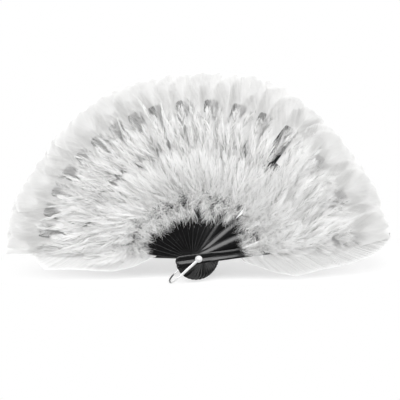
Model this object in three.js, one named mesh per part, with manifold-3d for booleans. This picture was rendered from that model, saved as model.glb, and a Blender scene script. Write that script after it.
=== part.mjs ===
// A folding feather fan, spread open: black plastic blades threaded on one rivet, each carrying
// two broad flat feathers at its top and a tuft of down over its middle. A ribbon links the blades
// and stops the spread, and a wire bail on the rivet takes a cord.
// Millimetres, +Z up. The fan's face looks along -Y, the rivet's axis is Y, and the origin is on
// that axis, halfway through the stack of blades. Angles are in degrees, from +X towards +Z.
import * as THREE from "three";
import { mergeVertices } from "three/addons/utils/BufferGeometryUtils.js";
import Module from "manifold-3d";

// Spread: the gaps are widest beside the front guard and close up towards the back guard.
const BLADE_COUNT = 18;
const FRONT_GUARD_ANGLE = 6.5;
const WIDE_GAP_COUNT = 3;
const WIDE_GAP_ANGLE = 15.9;
const MIDDLE_GAP_COUNT = 5;
const MIDDLE_GAP_ANGLE = 10.25;
const NARROW_GAP_ANGLE = 8;

// Blades: lengths run from the rivet's axis.
const HEAD_REACH = 30;
const BLADE_REACH = 206;
const BELLY_AT = 52;
const BLADE_FORM = { head: 14, belly: 19.5, top: 18.5 };
const GUARD_FORM = { head: 13.5, belly: 12.5, top: 15 };
const TOP_CORNER = 4;
const BLADE_THICKNESS = 1;
const BLADE_CROWN = 0.25;
const LAYER_GAP = 0.6;

// Grip panels: the bare, thicker stretch of each guard that the fingers hold.
const GRIP_START = 15;
const GRIP_END = 60;
const GRIP_HEIGHT = 1;
const GRIP_INSET = 0.8;
const GRIP_CHAMFER = 0.7;

// Rivet, washers and bail.
const RIVET_RADIUS = 2;
const RIVET_HOLE_CLEARANCE = 0.2;
const RIVET_HEAD_RADIUS = 3;
const RIVET_HEAD_HEIGHT = 1.4;
const WASHER_RADIUS = 4.6;
const WASHER_THICKNESS = 1.2;
const FACE_CLEARANCE = 0.15;
const BAIL_ANGLE = 222;
const BAIL_REACH = 48;
const BAIL_BEND = 13;
const BAIL_WIRE = 2;
const BAIL_EYE_RADIUS = 3.7;
const BAIL_ARM_WIDTH = 3.4;
const BAIL_ARM_THICKNESS = 1.2;
const BAIL_ARM_LENGTH = 29;

// Flat feathers: a pair on each blade, splayed about a point on the blade's centre line so that all
// tips stand evenly along the rim. Below the back guard the rim is trimmed.
const SPLAY_AT = 140;
const FLAT_ROOT = 28;
const FLAT_TIP = 106;
const FLAT_WIDTH = 54;
const FLAT_ROOT_WIDTH = 26;
const FLAT_THICKNESS = 0.3;
const GUARD_SPLAY_ANGLE = 2;
const TRIM_FROM = 208;
const TRIM_BELOW = 3;
const SHAFT_WIDTH = 1.8;
const SHAFT_HEIGHT = 0.6;
const SHAFT_SHORT_OF_TIP = 7;
const SHAFT_PAST_BLADE = 3;

// Down tufts: each fills the strip of its blade that the blade in front leaves bare.
const DOWN_START = 61;
const DOWN_END = 164;
const DOWN_HEIGHT = 16;
const DOWN_SEAT = 0.3;
const DOWN_SIDE_GAP = 0.5;
const FRONT_OVERHANG = 24;
const BACK_OVERHANG = 16;

// Ribbon: glued behind each blade, it slopes from one layer to the next in the gaps.
const RIBBON_AT = 153;
const RIBBON_WIDTH = 10;
const RIBBON_THICKNESS = 0.25;
const RIBBON_SEAT = 0.15;
const RIBBON_EDGE_GAP = 0.6;

// Facet counts of round forms.
const HOLE_SIDES = 16;
const ROUND_SIDES = 24;
const WIRE_SIDES = 8;
const VANE_STEPS = 11;

const PITCH = BLADE_THICKNESS + LAYER_GAP;
const LAST = BLADE_COUNT - 1;
const HOLE_RADIUS = RIVET_RADIUS + RIVET_HOLE_CLEARANCE;
const FRONT_FACE = -BLADE_THICKNESS / 2;
const BACK_FACE = BLADE_THICKNESS / 2;
const STACK_HALF = (LAST / 2) * PITCH + BLADE_THICKNESS / 2;

const radians = THREE.MathUtils.degToRad;
const mix = THREE.MathUtils.lerp;
const bladeDepth = (k) => (k - LAST / 2) * PITCH;
const bladeForm = (k) => (k === 0 || k === LAST ? GUARD_FORM : BLADE_FORM);
const number = (k) => String(k + 1).padStart(2, "0");

// The angle of blade k, counted from the front guard.
function bladeAngle(k) {
  const wide = Math.min(k, WIDE_GAP_COUNT);
  const middle = Math.min(k - wide, MIDDLE_GAP_COUNT);
  const narrow = k - wide - middle;
  const fromGuard = wide * WIDE_GAP_ANGLE + middle * MIDDLE_GAP_ANGLE + narrow * NARROW_GAP_ANGLE;
  return FRONT_GUARD_ANGLE + fromGuard;
}

const plastic = new THREE.MeshStandardMaterial({ color: 0x121213, roughness: 0.3, metalness: 0 });
const feather = new THREE.MeshStandardMaterial({ color: 0xf2f2f0, roughness: 0.9, metalness: 0 });
const down = new THREE.MeshStandardMaterial({ color: 0xf8f8f6, roughness: 1, metalness: 0 });
const satin = new THREE.MeshStandardMaterial({ color: 0x17171a, roughness: 0.5, metalness: 0 });
const silver = new THREE.MeshStandardMaterial({ color: 0xd9dadb, roughness: 0.15, metalness: 1 });

const wasm = await Module();
wasm.setup();

// A closed geometry as a solid that can be joined and cut.
function solidOf(geometry) {
  const bare = new THREE.BufferGeometry().setAttribute("position", geometry.getAttribute("position"));
  bare.setIndex(geometry.getIndex());
  const merged = mergeVertices(bare, 1e-4);
  return new wasm.Manifold(
    new wasm.Mesh({
      numProp: 3,
      vertProperties: new Float32Array(merged.getAttribute("position").array),
      triVerts: new Uint32Array(merged.getIndex().array),
    }),
  );
}

function geometryOf(solid) {
  const made = solid.getMesh();
  const geometry = new THREE.BufferGeometry();
  geometry.setAttribute("position", new THREE.BufferAttribute(made.vertProperties, 3));
  return geometry.setIndex(new THREE.BufferAttribute(made.triVerts, 1));
}

// A closed solid through rings of equally many points, each ring convex and seen anticlockwise
// from the side that the rings run towards.
function loft(rings) {
  const size = rings[0].length;
  const faces = [];
  for (let i = 0; i + 1 < rings.length; i++) {
    for (let j = 0; j < size; j++) {
      const a = i * size + j;
      const b = i * size + ((j + 1) % size);
      faces.push(a, b, b + size, a, b + size, a + size);
    }
  }
  const end = (rings.length - 1) * size;
  for (let j = 1; j + 1 < size; j++) {
    faces.push(0, j + 1, j, end, end + j, end + j + 1);
  }
  const geometry = new THREE.BufferGeometry().setFromPoints(rings.flat());
  return geometry.setIndex(faces);
}

// A cylinder along Y between two depths.
function roundBar(radius, from, to, sides) {
  const bar = new THREE.CylinderGeometry(radius, radius, to - from, sides);
  return bar.translate(0, (from + to) / 2, 0);
}

function named(name, geometry, material) {
  const mesh = new THREE.Mesh(geometry, material);
  mesh.name = name;
  return mesh;
}

// Half a blade's width at a distance along it from the rivet: a round head, a belly and a taper.
function halfWidth(along, form) {
  const headCentre = form.head / 2 - HEAD_REACH;
  if (along < headCentre) {
    return Math.sqrt(Math.max(0, (form.head / 2) ** 2 - (along - headCentre) ** 2));
  }
  if (along < BELLY_AT) {
    const swell = THREE.MathUtils.smoothstep(along, headCentre, BELLY_AT);
    return mix(form.head, form.belly, swell) / 2;
  }
  const taper = (along - BELLY_AT) / (BLADE_REACH - BELLY_AT);
  const corner = Math.max(0, along - (BLADE_REACH - TOP_CORNER));
  const rounding = TOP_CORNER - Math.sqrt(TOP_CORNER ** 2 - corner ** 2);
  return mix(form.belly, form.top, taper) / 2 - rounding;
}

// The angle that half a blade's width takes up at a radius.
const halfAngle = (radius, k) => Math.asin(halfWidth(radius, bladeForm(k)) / radius);

// The places along a blade where its width is taken.
function bladeStations(form) {
  const headCentre = form.head / 2 - HEAD_REACH;
  const head = [18, 40, 65, 90].map((a) => headCentre - (form.head / 2) * Math.cos(radians(a)));
  const shank = [0.3, 0.65, 1].map((share) => mix(headCentre, BELLY_AT, share));
  const taper = [0.5, 1].map((share) => mix(BELLY_AT, BLADE_REACH - TOP_CORNER, share));
  const top = [40, 75].map((a) => BLADE_REACH - TOP_CORNER * (1 - Math.sin(radians(a))));
  return [...head, ...shank, ...taper, ...top];
}

// A blade lies along +X with its crowned face to -Y and a flat back, and is bored for the rivet.
function bladeSolid(form) {
  const rings = bladeStations(form).map((along) => {
    const half = halfWidth(along, form);
    const edge = FRONT_FACE + BLADE_CROWN;
    const shoulder = FRONT_FACE + BLADE_CROWN / 4;
    return [
      [BACK_FACE, -half],
      [BACK_FACE, half],
      [edge, half],
      [shoulder, half / 2],
      [FRONT_FACE, 0],
      [shoulder, -half / 2],
      [edge, -half],
    ].map(([depth, across]) => new THREE.Vector3(along, depth, across));
  });
  const bore = roundBar(HOLE_RADIUS, -PITCH, PITCH, HOLE_SIDES);
  return solidOf(loft(rings)).subtract(solidOf(bore));
}

// The grip panel of a guard, flat on top with sloped sides, facing -Y.
function gripSolid(form) {
  const rings = [0, 0.35, 0.7, 1].map((share) => {
    const along = mix(GRIP_START, GRIP_END, share);
    const foot = halfWidth(along, form) - GRIP_INSET;
    const top = foot - GRIP_CHAMFER;
    const chamfer = GRIP_CHAMFER * (1 - 2 * share);
    const sunk = FRONT_FACE + BLADE_CROWN + LAYER_GAP / 4;
    return [
      new THREE.Vector3(along, sunk, -foot),
      new THREE.Vector3(along, sunk, foot),
      new THREE.Vector3(along + chamfer, FRONT_FACE - GRIP_HEIGHT, top),
      new THREE.Vector3(along + chamfer, FRONT_FACE - GRIP_HEIGHT, -top),
    ];
  });
  return solidOf(loft(rings));
}

// Guards are blades with a grip panel outside: before the front one, behind the back one.
function guardGeometry(outside) {
  const panel = gripSolid(GUARD_FORM);
  const turned = outside === "front" ? panel : panel.rotate([180, 0, 0]);
  return geometryOf(bladeSolid(GUARD_FORM).add(turned));
}

// Half a flat feather's width at a share of its length: a trimmed root, a broad vane, a round tip.
function vaneHalfWidth(share) {
  const vane = (FLAT_WIDTH / 2) * Math.sin(Math.PI * share ** 1.25) ** 0.5;
  return Math.max((FLAT_ROOT_WIDTH / 2) * (1 - share), vane);
}

// One flat feather along +X from the splay point, its back face at depth 0 and its shaft to -Y.
function flatSolid() {
  const edge = [];
  for (let i = 0; i < VANE_STEPS; i++) {
    const share = Math.sin((Math.PI / 2) * (i / VANE_STEPS));
    edge.push(new THREE.Vector2(mix(FLAT_ROOT, FLAT_TIP, share), vaneHalfWidth(share)));
  }
  const mirrored = edge.map((p) => new THREE.Vector2(p.x, -p.y));
  const outline = new THREE.Shape([...mirrored, new THREE.Vector2(FLAT_TIP, 0), ...edge.reverse()]);
  const vane = new THREE.ExtrudeGeometry(outline, { depth: FLAT_THICKNESS, bevelEnabled: false });
  vane.rotateX(Math.PI / 2);
  const shaftFrom = BLADE_REACH + SHAFT_PAST_BLADE - SPLAY_AT;
  const shaftTo = FLAT_TIP - SHAFT_SHORT_OF_TIP;
  const shaft = [0, 1].map((share) => {
    const along = mix(shaftFrom, shaftTo, share);
    const half = mix(SHAFT_WIDTH, SHAFT_WIDTH / 3, share) / 2;
    const ridge = -FLAT_THICKNESS - mix(SHAFT_HEIGHT, SHAFT_HEIGHT / 4, share);
    return [
      new THREE.Vector3(along, -FLAT_THICKNESS / 2, -half),
      new THREE.Vector3(along, -FLAT_THICKNESS / 2, half),
      new THREE.Vector3(along, ridge, 0),
    ];
  });
  return solidOf(vane).add(solidOf(loft(shaft)));
}

// The angle at the splay point that brings a flat feather's tip a quarter of the way from blade k to
// the next one, or just past the outer edge of a guard.
function splayTowards(k, next) {
  if (next < 0 || next > LAST) return GUARD_SPLAY_ANGLE;
  const turn = radians(Math.abs(bladeAngle(next) - bladeAngle(k)) / 4);
  const tip = SPLAY_AT + FLAT_TIP;
  return THREE.MathUtils.radToDeg(Math.atan2(tip * Math.sin(turn), tip * Math.cos(turn) - SPLAY_AT));
}

// The pair of flat feathers of blade k, in the layer between its face and the blade before it.
function flatsGeometry(k) {
  const one = flatSolid();
  const lower = one.rotate([0, splayTowards(k, k - 1), 0]);
  const upper = one.rotate([0, -splayTowards(k, k + 1), 0]);
  const seat = FRONT_FACE - (LAYER_GAP - FLAT_THICKNESS) / 2;
  const pair = lower.add(upper).translate([SPLAY_AT, seat, 0]);
  if (k !== LAST) return geometryOf(pair);
  const corner = new THREE.BoxGeometry(FLAT_TIP, 2 * PITCH, FLAT_WIDTH);
  corner.translate(TRIM_FROM + FLAT_TIP / 2, 0, TRIM_BELOW + FLAT_WIDTH / 2);
  return geometryOf(pair.subtract(solidOf(corner)));
}

// How far the guards' down hangs over their outer edges, at a share of the tuft's length.
const overhang = (most, share) => most * Math.sin(Math.PI * (0.12 + 0.8 * share)) ** 0.8;

// The down tuft of blade k, in that blade's own frame. It stands on the bare strip of the blade and
// swells over the gap beside it, as far as the edge of the blade before it.
function downGeometry(k) {
  const gap = k === 0 ? 0 : radians(bladeAngle(k) - bladeAngle(k - 1));
  const shares = [0, 0.1, 0.25, 0.45, 0.65, 0.85, 1];
  const rings = shares.map((share) => {
    const radius = mix(DOWN_START, DOWN_END, share);
    const own = halfAngle(radius, k);
    const spare = DOWN_SIDE_GAP / radius;
    let low = k === 0 ? -own : halfAngle(radius, k - 1) - gap + spare;
    let high = own - spare;
    const seatLow = Math.max(low, -own) + spare;
    const seatHigh = high - spare;
    if (k === 0) low -= overhang(FRONT_OVERHANG, share) / radius;
    if (k === LAST) high += overhang(BACK_OVERHANG, share) / radius;
    const height = DOWN_HEIGHT * mix(0.3, 1, Math.sin(Math.PI * (0.08 + 0.8 * share)));
    const inset = (high - low) * 0.2;
    return [
      [seatLow, 0],
      [seatHigh, 0],
      [high, 0.35],
      [high - inset, 0.85],
      [(low + high) / 2, 1],
      [low + inset, 0.85],
      [low, 0.35],
    ].map(([angle, rise]) => {
      const depth = FRONT_FACE - DOWN_SEAT - rise * height;
      return new THREE.Vector3(radius * Math.cos(angle), depth, radius * Math.sin(angle));
    });
  });
  return loft(rings);
}

// The ribbon's flat stretch behind each blade ends past the blade's edges, and slopes lie between.
function ribbonGeometry() {
  const rings = [];
  for (let k = 0; k < BLADE_COUNT; k++) {
    const reach = halfAngle(RIBBON_AT, k) + RIBBON_EDGE_GAP / RIBBON_AT;
    const front = bladeDepth(k) + BACK_FACE + RIBBON_SEAT;
    const back = front + RIBBON_THICKNESS;
    for (const side of [-1, 1]) {
      const angle = radians(bladeAngle(k)) + side * reach;
      const inner = RIBBON_AT - RIBBON_WIDTH / 2;
      const outer = RIBBON_AT + RIBBON_WIDTH / 2;
      const corners = [[inner, front], [outer, front], [outer, back], [inner, back]];
      rings.push(
        corners.map(([radius, depth]) => {
          return new THREE.Vector3(radius * Math.cos(angle), depth, radius * Math.sin(angle));
        }),
      );
    }
  }
  return loft(rings);
}

// Depths of what is stacked on the rivet outside the guards, the same at the front and the back.
const WASHER_FROM = STACK_HALF + FACE_CLEARANCE;
const EYE_FROM = WASHER_FROM + WASHER_THICKNESS + FACE_CLEARANCE;
const EYE_TO = EYE_FROM + BAIL_ARM_THICKNESS;
const RIVET_HEAD_FROM = EYE_TO + FACE_CLEARANCE;

// The rivet: a shank with a domed head at each end, turned about Y.
function rivetGeometry() {
  const dome = [];
  for (const angle of [0, 25, 50, 70]) {
    const radius = RIVET_HEAD_RADIUS * Math.cos(radians(angle));
    const height = RIVET_HEAD_FROM + RIVET_HEAD_HEIGHT * Math.sin(radians(angle));
    dome.push(new THREE.Vector2(radius, height));
  }
  const tip = new THREE.Vector2(0, RIVET_HEAD_FROM + RIVET_HEAD_HEIGHT);
  const upper = [new THREE.Vector2(RIVET_RADIUS, RIVET_HEAD_FROM), ...dome, tip];
  const lower = upper.map((p) => new THREE.Vector2(p.x, -p.y)).reverse();
  return new THREE.LatheGeometry([...lower, ...upper], ROUND_SIDES);
}

function washerGeometry() {
  const disc = roundBar(WASHER_RADIUS, WASHER_FROM, WASHER_FROM + WASHER_THICKNESS, ROUND_SIDES);
  const bore = roundBar(HOLE_RADIUS, 0, EYE_TO, HOLE_SIDES);
  return geometryOf(solidOf(disc).subtract(solidOf(bore)));
}

// The bail's centre line lies along +X: out along the front arm, across behind the heads, and back.
function bailStations() {
  const arm = (EYE_FROM + EYE_TO) / 2;
  const flat = { wide: BAIL_ARM_WIDTH, thick: BAIL_ARM_THICKNESS };
  const round = { wide: BAIL_WIRE, thick: BAIL_WIRE };
  const bend = [0, 22.5, 45, 67.5, 90].map((degrees) => {
    const a = radians(degrees);
    const x = BAIL_REACH - BAIL_BEND * (1 - Math.sin(a));
    return { x, y: -arm + BAIL_BEND * (1 - Math.cos(a)), heading: a, ...round };
  });
  const out = [
    { x: 0, y: -arm, heading: 0, ...flat },
    { x: BAIL_ARM_LENGTH, y: -arm, heading: 0, ...flat },
    { x: BAIL_ARM_LENGTH + BAIL_ARM_WIDTH, y: -arm, heading: 0, ...round },
    ...bend,
  ];
  const home = out.map((s) => ({ ...s, y: -s.y, heading: Math.PI - s.heading })).reverse();
  return [...out, ...home];
}

// A flattened wire bent to a U, with an eye at each end.
function bailGeometry() {
  const rings = bailStations().map((s) => {
    const ring = [];
    for (let i = 0; i < WIRE_SIDES; i++) {
      const around = (2 * Math.PI * (i + 0.5)) / WIRE_SIDES;
      const across = (s.thick / 2) * Math.cos(around);
      const rise = (s.wide / 2) * Math.sin(around);
      const x = s.x - across * Math.sin(s.heading);
      ring.push(new THREE.Vector3(x, s.y + across * Math.cos(s.heading), rise));
    }
    return ring;
  });
  let bail = solidOf(loft(rings));
  for (const [from, to] of [[EYE_FROM, EYE_TO], [-EYE_TO, -EYE_FROM]]) {
    bail = bail.add(solidOf(roundBar(BAIL_EYE_RADIUS, from, to, ROUND_SIDES)));
  }
  const bore = roundBar(HOLE_RADIUS, -RIVET_HEAD_FROM, RIVET_HEAD_FROM, HOLE_SIDES);
  return geometryOf(bail.subtract(solidOf(bore)));
}

// A group whose +X points along an angle of the spread.
function turnedGroup(angle, depth) {
  const group = new THREE.Group();
  group.rotation.y = -radians(angle);
  group.position.y = depth;
  return group;
}

const fan = new THREE.Group();

for (let k = 0; k < BLADE_COUNT; k++) {
  const leaf = turnedGroup(bladeAngle(k), bladeDepth(k));
  if (k === 0) {
    leaf.add(named("front_guard", guardGeometry("front"), plastic));
  } else if (k === LAST) {
    leaf.add(named("back_guard", guardGeometry("back"), plastic));
  } else {
    leaf.add(named(`blade_${number(k)}`, geometryOf(bladeSolid(BLADE_FORM)), plastic));
  }
  leaf.add(named(`flat_feathers_${number(k)}`, flatsGeometry(k), feather));
  leaf.add(named(`down_tuft_${number(k)}`, downGeometry(k), down));
  fan.add(leaf);
}

fan.add(named("link_ribbon", ribbonGeometry(), satin));
fan.add(named("rivet_pin", rivetGeometry(), silver));
fan.add(named("back_washer", washerGeometry(), silver));
const frontWasher = named("front_washer", washerGeometry(), silver);
frontWasher.rotation.x = Math.PI;
fan.add(frontWasher);

const bailGroup = turnedGroup(BAIL_ANGLE, 0);
bailGroup.add(named("bail", bailGeometry(), silver));
fan.add(bailGroup);

export default fan;
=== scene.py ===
import math
import random

import bmesh
import bpy
import numpy as np
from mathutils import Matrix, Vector


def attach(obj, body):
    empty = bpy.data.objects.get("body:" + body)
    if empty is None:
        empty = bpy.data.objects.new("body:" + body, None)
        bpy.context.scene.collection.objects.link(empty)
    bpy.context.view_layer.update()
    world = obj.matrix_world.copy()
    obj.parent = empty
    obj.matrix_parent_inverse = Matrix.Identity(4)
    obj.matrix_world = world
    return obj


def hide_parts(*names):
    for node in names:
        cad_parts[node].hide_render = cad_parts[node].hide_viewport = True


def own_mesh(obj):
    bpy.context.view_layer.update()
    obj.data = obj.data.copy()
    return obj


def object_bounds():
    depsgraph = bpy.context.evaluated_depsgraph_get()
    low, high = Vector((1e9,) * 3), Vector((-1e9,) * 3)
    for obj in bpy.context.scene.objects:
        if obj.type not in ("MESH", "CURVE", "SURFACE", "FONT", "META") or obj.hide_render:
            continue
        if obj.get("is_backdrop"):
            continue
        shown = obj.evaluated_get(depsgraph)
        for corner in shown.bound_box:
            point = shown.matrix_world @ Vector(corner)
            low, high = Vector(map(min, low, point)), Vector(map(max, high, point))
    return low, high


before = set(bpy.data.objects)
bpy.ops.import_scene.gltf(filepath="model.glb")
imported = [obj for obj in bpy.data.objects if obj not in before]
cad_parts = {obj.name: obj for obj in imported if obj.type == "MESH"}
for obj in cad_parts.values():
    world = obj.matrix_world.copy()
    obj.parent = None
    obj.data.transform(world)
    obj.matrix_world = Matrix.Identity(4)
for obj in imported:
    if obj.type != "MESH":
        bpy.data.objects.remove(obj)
cad_low, cad_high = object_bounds()

# Studio: a white table under the fan and white all round behind it, with a dim room in front, one
# broad soft lamp high at the left and a weaker one at the right. The camera looks a little down.
view_tilt = math.radians(12)
view_turn = math.radians(-6)
view_width = 0.514
lens = 400
sensor = 36
aim = Vector((0.0048, 0.0146, 0.0711))
studio = bpy.context.scene
studio.view_settings.view_transform = "Standard"


def put(name, data):
    """A new object of the scene that holds a mesh, a lamp or a camera."""
    made = bpy.data.objects.new(name, data)
    studio.collection.objects.link(made)
    return made


def turn_to(thing, way):
    thing.rotation_mode = "QUATERNION"
    thing.rotation_quaternion = way.to_track_quat("-Z", "Y")


camera = put("camera", bpy.data.cameras.new("camera"))
camera.data.lens = lens
camera.data.sensor_width = sensor
away = Vector((math.sin(view_turn) * math.cos(view_tilt),
               -math.cos(view_turn) * math.cos(view_tilt),
               math.sin(view_tilt)))
camera.location = aim + away * (view_width * lens / sensor)
turn_to(camera, -away)
studio.camera = camera


class Strand:
    """A socket of a node tree. Sums and products of strands add the nodes that work them out."""

    def __init__(self, tree, socket=None):
        self.tree = tree
        self.socket = socket

    def node(self, kind, settings=None, sockets=None, out=None):
        """A new node with its settings and sockets set, as the strand of its first or named output."""
        made = self.tree.nodes.new(kind)
        for name, value in (settings or {}).items():
            setattr(made, name, value)
        for name, value in (sockets or {}).items():
            entry = next(s for s in made.inputs if s.identifier == name)
            for one in value if isinstance(value, list) else [value]:
                if isinstance(one, Strand):
                    self.tree.links.new(one.socket, entry)
                else:
                    entry.default_value = one
        outs = [s for s in made.outputs if s.enabled and out in (None, s.identifier)]
        return Strand(self.tree, outs[0] if outs else None)

    def is_vector(self):
        return self.socket.type in ("VECTOR", "RGBA")

    def work(self, operation, left, right):
        vectors = [v for v in (left, right) if isinstance(v, Strand) and v.is_vector()]
        numbers = [v for v in (left, right) if v not in vectors and not isinstance(v, tuple)]
        if not vectors:
            return self.node("ShaderNodeMath", {"operation": operation}, {"Value": left, "Value_001": right})
        if operation == "MULTIPLY" and numbers:
            return self.node("ShaderNodeVectorMath", {"operation": "SCALE"},
                             {"Vector": vectors[0], "Scale": numbers[0]})
        return self.node("ShaderNodeVectorMath", {"operation": operation}, {"Vector": left, "Vector_001": right})

    def __add__(self, other):
        return self.work("ADD", self, other)

    def __radd__(self, other):
        return self.work("ADD", other, self)

    def __sub__(self, other):
        return self.work("SUBTRACT", self, other)

    def __rsub__(self, other):
        return self.work("SUBTRACT", other, self)

    def __mul__(self, other):
        return self.work("MULTIPLY", self, other)

    def __rmul__(self, other):
        return self.work("MULTIPLY", self, other)

    def __truediv__(self, other):
        return self.work("DIVIDE", self, other)

    def __rtruediv__(self, other):
        return self.work("DIVIDE", other, self)


def new_material(name):
    material = bpy.data.materials.new(name)
    material.use_nodes = True
    material.node_tree.nodes.clear()
    return material, Strand(material.node_tree)


def finish_material(strand, shader):
    strand.node("ShaderNodeOutputMaterial", None, {"Surface": shader})


def ray_is(strand, kind):
    return strand.node("ShaderNodeLightPath", None, None, f"Is {kind} Ray")


def part_of(vector, axis):
    return vector.node("ShaderNodeSeparateXYZ", None, {"Vector": vector}, axis)


def eased(value, low, high, start=0.0):
    """A smooth step from start, where the value is low, to 1, where it is high."""
    return value.node("ShaderNodeMapRange", {"interpolation_type": "SMOOTHSTEP"},
                      {"Value": value, "From Min": low, "From Max": high, "To Min": start, "To Max": 1.0})


room_light = 0.64
dim_front = 0.06
white = (1, 1, 1, 1)
world = bpy.data.worlds.new("white_room")
studio.world = world
world.use_nodes = True
world.node_tree.nodes.clear()
air = Strand(world.node_tree)
seen = ray_is(air, "Camera")
toward = air.node("ShaderNodeTexCoord", None, None, "Generated")
behind = eased(part_of(toward, "Y"), -0.25, 0.35, dim_front)
mirrored = air.node("ShaderNodeMath", {"operation": "MAXIMUM"},
                    {"Value": ray_is(air, "Glossy"), "Value_001": ray_is(air, "Transmission")})
strength = room_light * (1 - mirrored) + behind * mirrored
sky = air.node("ShaderNodeBackground", None, {"Color": white, "Strength": strength * (1 - seen) + seen})
air.node("ShaderNodeOutputWorld", None, {"Surface": sky})


def soft_lamp(name, place, size, power):
    lamp = put(name, bpy.data.lights.new(name, "AREA"))
    lamp.data.shape = "DISK"
    lamp.data.size = size
    lamp.data.energy = power
    lamp.location = place
    turn_to(lamp, aim - Vector(place))


soft_lamp("key_lamp", place=(-0.52, -1.42, 1.1), size=1.7, power=25)
soft_lamp("fill_lamp", place=(1.2, -0.9, 0.7), size=1.6, power=12)

table_size = 4.0
table_front = -0.012
table_drop = 0.0005
table_grey = (0.9, 0.9, 0.9, 1)
table_glow = 0.22
shadow_place = (0.08, 0.09, 0.0)
shadow_size = (0.38, 0.14, 1e6)
table_z = cad_low.z - table_drop
corners = [(-table_size, table_front), (table_size, table_front),
           (table_size, table_size), (-table_size, table_size)]
table_mesh = bpy.data.meshes.new("table")
table_mesh.from_pydata([(x, y, table_z) for x, y in corners], [], [(0, 1, 2, 3)])
table = put("table", table_mesh)
table_white, paper = new_material("table_white")
seen = ray_is(paper, "Camera")
where = paper.node("ShaderNodeTexCoord", None, None, "Object")
near = paper.node("ShaderNodeMapping", {"vector_type": "TEXTURE"},
                  {"Vector": where, "Location": shadow_place, "Scale": shadow_size})
far = eased(paper.node("ShaderNodeVectorMath", {"operation": "LENGTH"}, {"Vector": near}, "Value"), 0.35, 1.0)
matt = paper.node("ShaderNodeBsdfDiffuse", None, {"Color": table_grey})
glow = paper.node("ShaderNodeEmission", None, {"Color": white, "Strength": seen * table_glow})
lit = paper.node("ShaderNodeAddShader", None, {"Shader": matt, "Shader_001": glow})
blank = paper.node("ShaderNodeEmission", None, {"Color": white, "Strength": 1.0})
finish_material(paper, paper.node("ShaderNodeMixShader", None,
                                  {"Fac": far * seen, "Shader": lit, "Shader_001": blank}))
table_mesh.materials.append(table_white)
table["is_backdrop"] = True

# Blades: eighteen black injection-moulded sticks stacked on the rivet, each a thin springy leaf with
# a crowned face, bevelled edges, a round head below the rivet and a square top. The outer two are the
# guards, narrower and with a raised panel outside for the fingers.
blade_count = 18
last_blade = blade_count - 1
front_angle = 6.5
wide_gaps = 3
wide_gap = 15.9
middle_gaps = 5
middle_gap = 10.25
narrow_gap = 8.0
layer_pitch = 0.0016
blade_face = 0.0005
head_reach = 0.030
blade_reach = 0.206
belly_at = 0.052
blade_widths = (0.014, 0.0195, 0.0185)
guard_widths = (0.0135, 0.0125, 0.015)
blade_bevel = 0.0006
guard_bevel = 0.0009
blade_crease = math.radians(38)
top_corner = 0.004
bore_radius = 0.0022
bore_reach = 0.002
bore_sides = 24
face_crown = 0.0003
panel_span = (0.015, 0.060)
panel_height = 0.001
panel_inset = 0.0008
panel_root = 0.0004
panel_dip = 0.0002


def blade_angle(k):
    wide = min(k, wide_gaps)
    middle = min(k - wide, middle_gaps)
    narrow = k - wide - middle
    return math.radians(front_angle + wide * wide_gap + middle * middle_gap + narrow * narrow_gap)


def blade_depth(k):
    return (k - last_blade / 2) * layer_pitch


def placed(points, k):
    """Points of a blade's own frame (along, depth, across), put where blade k is."""
    p = np.asarray(points, float).reshape(-1, 3)
    c, s = math.cos(blade_angle(k)), math.sin(blade_angle(k))
    return np.stack([p[:, 0] * c - p[:, 2] * s, p[:, 1] + blade_depth(k), p[:, 0] * s + p[:, 2] * c], 1)


def body_name(k):
    return "front_leaf" if k == 0 else "back_leaf" if k == last_blade else f"leaf_{k + 1:02d}"


def blade_node(k):
    return "front_guard" if k == 0 else "back_guard" if k == last_blade else f"blade_{k + 1:02d}"


def widths_of(k):
    return guard_widths if k in (0, last_blade) else blade_widths


def smooth(share):
    return share * share * (3 - 2 * share)


def half_width(along, widths):
    """Half a blade's width at a distance from the rivet."""
    head, belly, top = widths
    head_centre = head / 2 - head_reach
    if along < head_centre:
        return math.sqrt(max(1e-8, (head / 2) ** 2 - (along - head_centre) ** 2))
    if along < belly_at:
        return (head + (belly - head) * smooth((along - head_centre) / (belly_at - head_centre))) / 2
    taper = (along - belly_at) / (blade_reach - belly_at)
    corner = max(0.0, along - (blade_reach - top_corner))
    rounding = top_corner - math.sqrt(max(0.0, top_corner ** 2 - corner ** 2))
    return (belly + (top - belly) * taper) / 2 - rounding


def mesh_of(name, points, faces):
    """A mesh with its doubles merged and its faces turned outwards."""
    mesh = bpy.data.meshes.new(name)
    mesh.from_pydata([tuple(p) for p in points], [], faces)
    work = bmesh.new()
    work.from_mesh(mesh)
    bmesh.ops.remove_doubles(work, verts=work.verts, dist=1e-7)
    bmesh.ops.recalc_face_normals(work, faces=work.faces)
    work.to_mesh(mesh)
    work.free()
    return mesh


def lofted(name, rings):
    """A closed mesh through rings of equally many points."""
    size = len(rings[0])
    faces = [tuple(range(size)), tuple((len(rings) - 1) * size + j for j in range(size))]
    for i in range(len(rings) - 1):
        for j in range(size):
            a, b = i * size + j, i * size + (j + 1) % size
            faces.append((a, b, b + size, a + size))
    return mesh_of(name, [p for ring in rings for p in ring], faces)


def cut_or_joined(mesh, other, operation):
    """Another closed mesh cut from this one, or joined to it."""
    pair = [put("work", m) for m in (mesh, other)]
    cutter = pair[0].modifiers.new("cut", "BOOLEAN")
    cutter.operation = operation
    cutter.solver = "EXACT"
    cutter.object = pair[1]
    done = bpy.data.meshes.new_from_object(pair[0].evaluated_get(bpy.context.evaluated_depsgraph_get()))
    for one in pair:
        bpy.data.objects.remove(one)
    return done


def round_bar(radius, reach, sides):
    """A bar on the rivet's axis that reaches as far to the front as to the back."""
    around = [2 * math.pi * i / sides for i in range(sides)]
    return lofted("bar", [[(radius * math.cos(a), y, radius * math.sin(a)) for a in around]
                          for y in (-reach, reach)])


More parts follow.
